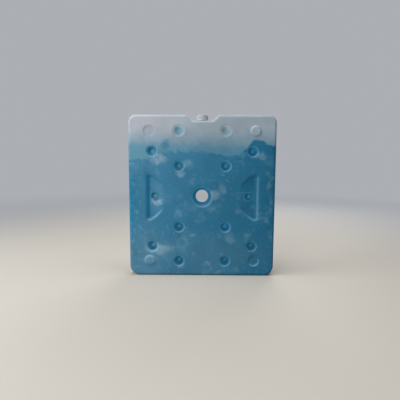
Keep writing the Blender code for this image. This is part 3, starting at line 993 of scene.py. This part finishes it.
# The neck is a collar turned from a rounded section, its foot sunk a little into the floor of the
# notch. The bottle is one object: the outer skin, the inner skin turned inwards, and the collar.
NECK_BORE = 0.0075
NECK_RADIUS = 0.0096
NECK_TOP_Z = 0.0093
NECK_FOOT_Z = -0.0006
NECK_MIDDLE = 0.0085
NECK_ROUND = 0.0005
NECK_FOOT_ROUND = 0.0002
NECK_SIDES = 64
neck_profile = rounded_path(
    [(NECK_MIDDLE, NECK_FOOT_Z), (NECK_BORE, NECK_FOOT_Z), (NECK_BORE, NECK_TOP_Z)]
    + [(NECK_RADIUS, NECK_TOP_Z), (NECK_RADIUS, NECK_FOOT_Z), (NECK_MIDDLE, NECK_FOOT_Z)],
    (NECK_FOOT_ROUND, NECK_ROUND, NECK_ROUND, NECK_FOOT_ROUND), 4,
)
outer = joined(skin_of_pack(0.0, 1))
inner = joined(skin_of_pack(WALL, INNER_COARSENESS), flip=True)
neck = joined([turned_surface(neck_profile[::-1], NECK_SIDES, z=NOTCH_Z)])
bottle = piece("bottle", [outer, inner, neck])
note_hollows(bottle)
bottle.data.materials.append(bottle_plastic())
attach(bottle, "root")
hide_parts("shell")

# The coolant: a thick blue gel, poured in through the neck, that fills the bottle to just below
# its shoulders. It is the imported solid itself, inside the bottle, and gets the clear, deeply
# coloured look of a gel.
GEL_COLOUR = (0.010, 0.115, 0.250, 1)
PALE_GEL_COLOUR = (0.040, 0.230, 0.380, 1)
GEL_WETNESS = (90, 3, 0.5, 0.30, 0.70, 0.08, 0.22)
GEL_IOR = 1.37
GEL_CLEARNESS = 0.35
SWIRLS = (30, 4, 0.6)
SWIRL_PALENESS = (0.35, 0.70)
SWIRL_BUMP = {"Strength": 0.3, "Distance": 0.0006}
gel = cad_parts["gel"]
coolant_gel, tree, shader, place = plain_material("blue_coolant_gel")
swirl = mottle(tree, place, *SWIRLS)
colour = blended(tree, eased(tree, swirl, *SWIRL_PALENESS), GEL_COLOUR, PALE_GEL_COLOUR)
soft = node(tree, "Bump", {"Height": swirl, **SWIRL_BUMP}).outputs[0]
rough = patchy(tree, place, *GEL_WETNESS)
feed(tree, shader, {"Base Color": colour, "Roughness": rough, "Normal": soft})
feed(tree, shader, {"IOR": GEL_IOR, "Transmission Weight": GEL_CLEARNESS})
for its_slot in gel.material_slots:
    its_slot.material = coolant_gel

# The filler cap: one moulding of white polyethylene, a ribbed cup over the neck with a stopper
# inside the bore. It is pushed on once the pack is filled. Its top is dished and has the small
# pip that the mould's gate leaves.
CAP_Z = NOTCH_Z + 0.0003
CAP_RADIUS = 0.0126
CAP_HEIGHT = 0.0115
CAP_CUP_RADIUS = 0.0099
CAP_ROOF_Z = 0.0093
CAP_EDGE_ROUND = 0.0010
CAP_RIBS = 40
CAP_RIB_DEPTH = 0.0005
CAP_RIB_LOW = 0.0008
CAP_RIB_HIGH = 0.0101
CAP_RIB_RUN_OUT = 0.001
CAP_RIB_REACH = 0.0004
CAP_SIDES = 320
CAP_SIDE_ROWS = 9
CAP_SMOOTH = math.radians(50)
DISH_RADIUS = 0.0092
DISH_EDGE = 0.0098
DISH_FLOOR_Z = 0.0109
PIP = ((0.0, 0.01125), (0.0006, 0.0112), (0.0009, DISH_FLOOR_Z))
STOPPER_RADIUS = 0.0072
STOPPER_BORE = 0.0056
STOPPER_END_Z = 0.0023
FINE_ROUND = 0.0003
INNER_ROUND = 0.0004
STOPPER_ROUND = 0.0005
CAP_COLOUR = (0.275, 0.320, 0.355, 1)
PALE_CAP_COLOUR = (0.335, 0.390, 0.425, 1)
CAP_CLOUDS = (180, 3, 0.5, 0.30, 0.70)
CAP_WAXINESS = (420, 2, 0.5, 0.30, 0.70, 0.34, 0.46)
CAP_GRAIN = (2400, 0.25, 0.00008)


def ribbed_surface(profile):
    """The cap's profile of (radius, height) carried round its upright axis, ribbed at its rim.

    Between the ribs' ends the outer radius is drawn in by depth * (1 - |cos(ribs * a / 2)|) ** 0.7,
    and the ribs run out evenly at both ends.
    """
    a = np.arange(CAP_SIDES) * math.tau / CAP_SIDES
    r, height = profile[:, 0, None], profile[:, 1, None]
    run = np.clip((height - CAP_RIB_LOW) / CAP_RIB_RUN_OUT, 0, 1)
    run = run * np.clip((CAP_RIB_HIGH - height) / CAP_RIB_RUN_OUT, 0, 1)
    run = run * (r > CAP_RADIUS - CAP_RIB_REACH)
    r = r - CAP_RIB_DEPTH * run * (1 - abs(np.cos(CAP_RIBS * a / 2))) ** 0.7
    points = np.stack([r * np.cos(a), r * np.sin(a), CAP_Z + height + 0 * a], -1)
    return points.reshape(-1, 3), grid_faces(len(profile), CAP_SIDES)


def cap_plastic():
    """White polyethylene, a little waxy, with faint cloudiness and a fine grain."""
    made, tree, shader, place = plain_material("white_cap_plastic")
    colour = blended(tree, patchy(tree, place, *CAP_CLOUDS), CAP_COLOUR, PALE_CAP_COLOUR)
    rough = patchy(tree, place, *CAP_WAXINESS)
    grain = grained(tree, place, *CAP_GRAIN)
    feed(tree, shader, {"Base Color": colour, "Roughness": rough, "Normal": grain})
    return made


cap_profile = rounded_path(
    [(0.0, DISH_FLOOR_Z), (DISH_RADIUS, DISH_FLOOR_Z), (DISH_EDGE, CAP_HEIGHT)]
    + [(CAP_RADIUS, CAP_HEIGHT), (CAP_RADIUS, 0.0), (CAP_CUP_RADIUS, 0.0)]
    + [(CAP_CUP_RADIUS, CAP_ROOF_Z), (STOPPER_RADIUS, CAP_ROOF_Z), (STOPPER_RADIUS, STOPPER_END_Z)]
    + [(STOPPER_BORE, STOPPER_END_Z), (STOPPER_BORE, CAP_ROOF_Z), (0.0, CAP_ROOF_Z)],
    (FINE_ROUND, FINE_ROUND, CAP_EDGE_ROUND, FINE_ROUND, FINE_ROUND)
    + (INNER_ROUND, INNER_ROUND, STOPPER_ROUND, STOPPER_ROUND, INNER_ROUND), 5,
)
rib_heights = np.linspace(CAP_RIB_HIGH, CAP_RIB_LOW, CAP_SIDE_ROWS)
side_rows = np.stack([np.full(CAP_SIDE_ROWS, CAP_RADIUS), rib_heights], -1)
rim = int(np.argmax(cap_profile[:, 0] > CAP_RADIUS - SAME_PLACE)) + 1
cap_profile = np.concatenate([PIP, cap_profile[1:rim], side_rows, cap_profile[rim:]])
cap = piece("cap", [joined([ribbed_surface(cap_profile)])], CAP_SMOOTH)
cap.data.materials.append(cap_plastic())
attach(cap, "root")
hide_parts("filler_cap")

# The camera: level with the upper part of the pack and about 0.9 m from its front, tipped down by
# a few degrees. Its lens is as long as the picture plane is wide.
CAMERA_LENS = 36
CAMERA_PLACE = (0.00105, -0.8951, 0.2826)
CAMERA_LEFT = math.radians(0.348)
CAMERA_DOWN = math.radians(7.156)
CAMERA_ROLL = math.radians(0.288)
camera = bpy.data.objects.new("camera", bpy.data.cameras.new("camera"))
bpy.context.scene.collection.objects.link(camera)
camera.data.lens = CAMERA_LENS
camera.data.sensor_width = CAMERA_LENS
camera.location = CAMERA_PLACE
aim = Matrix.Rotation(CAMERA_LEFT, 4, "Z") @ Matrix.Rotation(math.radians(90) - CAMERA_DOWN, 4, "X")
camera.rotation_euler = (aim @ Matrix.Rotation(CAMERA_ROLL, 4, "Z")).to_euler()
bpy.context.scene.camera = camera

# The floor and the backdrop: one pale matt sheet, flat under the pack and swept up all round it
# well out of the lamps' way, warm like a table top below and a cool pale grey above.
STAGE_RADIUS = 2.6
STAGE_SWEEP = 0.5
STAGE_HEIGHT = 2.0
FLOOR_COLOUR = (0.43, 0.41, 0.375, 1)
WALL_COLOUR = (0.50, 0.51, 0.53, 1)
GLOW_COLOUR = (0.41, 0.43, 0.46, 1)
PAPER_ROUGHNESS = 0.75
WARM_TO_COOL = (0.3, 1.6)
GLOW_REACH = (0.4, 1.9)
STAGE_STEPS = 16
STAGE_SIDES = 96
ends = [(0.0, 0.0), (STAGE_RADIUS, 0.0), (STAGE_RADIUS, STAGE_HEIGHT)]
sweep = rounded_path(ends, (STAGE_SWEEP,), STAGE_STEPS)
sheet, sheet_faces = joined([turned_surface(sweep, STAGE_SIDES)])
stage_mesh = bpy.data.meshes.new("stage")
stage_mesh.from_pydata(sheet, [], sheet_faces)
stage_mesh.shade_smooth()
stage = bpy.data.objects.new("stage", stage_mesh)
bpy.context.scene.collection.objects.link(stage)
paper, tree, shader, place = plain_material("pale_backdrop")
far = node(tree, "VectorMath", {0: place}, operation="LENGTH").outputs["Value"]
colour = blended(tree, eased(tree, far, *WARM_TO_COOL), FLOOR_COLOUR, WALL_COLOUR)
feed(tree, shader, {"Base Color": colour, "Roughness": PAPER_ROUGHNESS})
rays = node(tree, "LightPath").outputs
seen = reckoned(tree, "MAXIMUM", rays["Is Camera Ray"], rays["Is Glossy Ray"])
seen = reckoned(tree, "MAXIMUM", seen, rays["Is Transmission Ray"])
glow = node(tree, "Emission", {"Color": GLOW_COLOUR, "Strength": 1.0})
glowing = reckoned(tree, "MULTIPLY", seen, eased(tree, far, *GLOW_REACH))
mixed = node(tree, "MixShader", {0: glowing, 1: shader.outputs[0], 2: glow.outputs[0]})
feed(tree, tree.nodes["Material Output"], {"Surface": mixed.outputs[0]})
stage_mesh.materials.append(paper)

# The light: square soft lamps in front of the pack, beside it, over it and behind it, stronger
# from the left, and an even pale room all round. The picture shows colours as they are written.
LAMP_COLOUR = (1, 0.985, 0.96)
LAMPS_AIM = (0, 0, 0.18)
ROOM_COLOUR = (0.95, 0.97, 1.0, 1)
ROOM_STRENGTH = 0.06


def lamp(name, place, size, power):
    """A square soft lamp that faces the middle of the pack."""
    light = bpy.data.lights.new(name, "AREA")
    light.size = size
    light.energy = power
    light.color = LAMP_COLOUR
    made = bpy.data.objects.new(name, light)
    made.location = place
    made.rotation_euler = (Vector(LAMPS_AIM) - Vector(place)).to_track_quat("-Z", "Y").to_euler()
    bpy.context.scene.collection.objects.link(made)


lamp("front", (-0.60, -1.45, 0.75), 0.7, 15.0)
lamp("side", (-1.09, -0.36, 0.80), 0.8, 10.5)
lamp("overhead_left", (-0.29, -0.17, 1.44), 0.6, 7.9)
lamp("overhead_right", (0.29, -0.17, 1.44), 0.6, 6.4)
lamp("behind", (0.35, 1.10, 0.85), 0.9, 9.0)
world = bpy.data.worlds.new("room")
world.use_nodes = True
sky = world.node_tree.nodes["Background"]
sky.inputs["Color"].default_value = ROOM_COLOUR
sky.inputs["Strength"].default_value = ROOM_STRENGTH
bpy.context.scene.world = world
bpy.context.scene.view_settings.view_transform = "Standard"
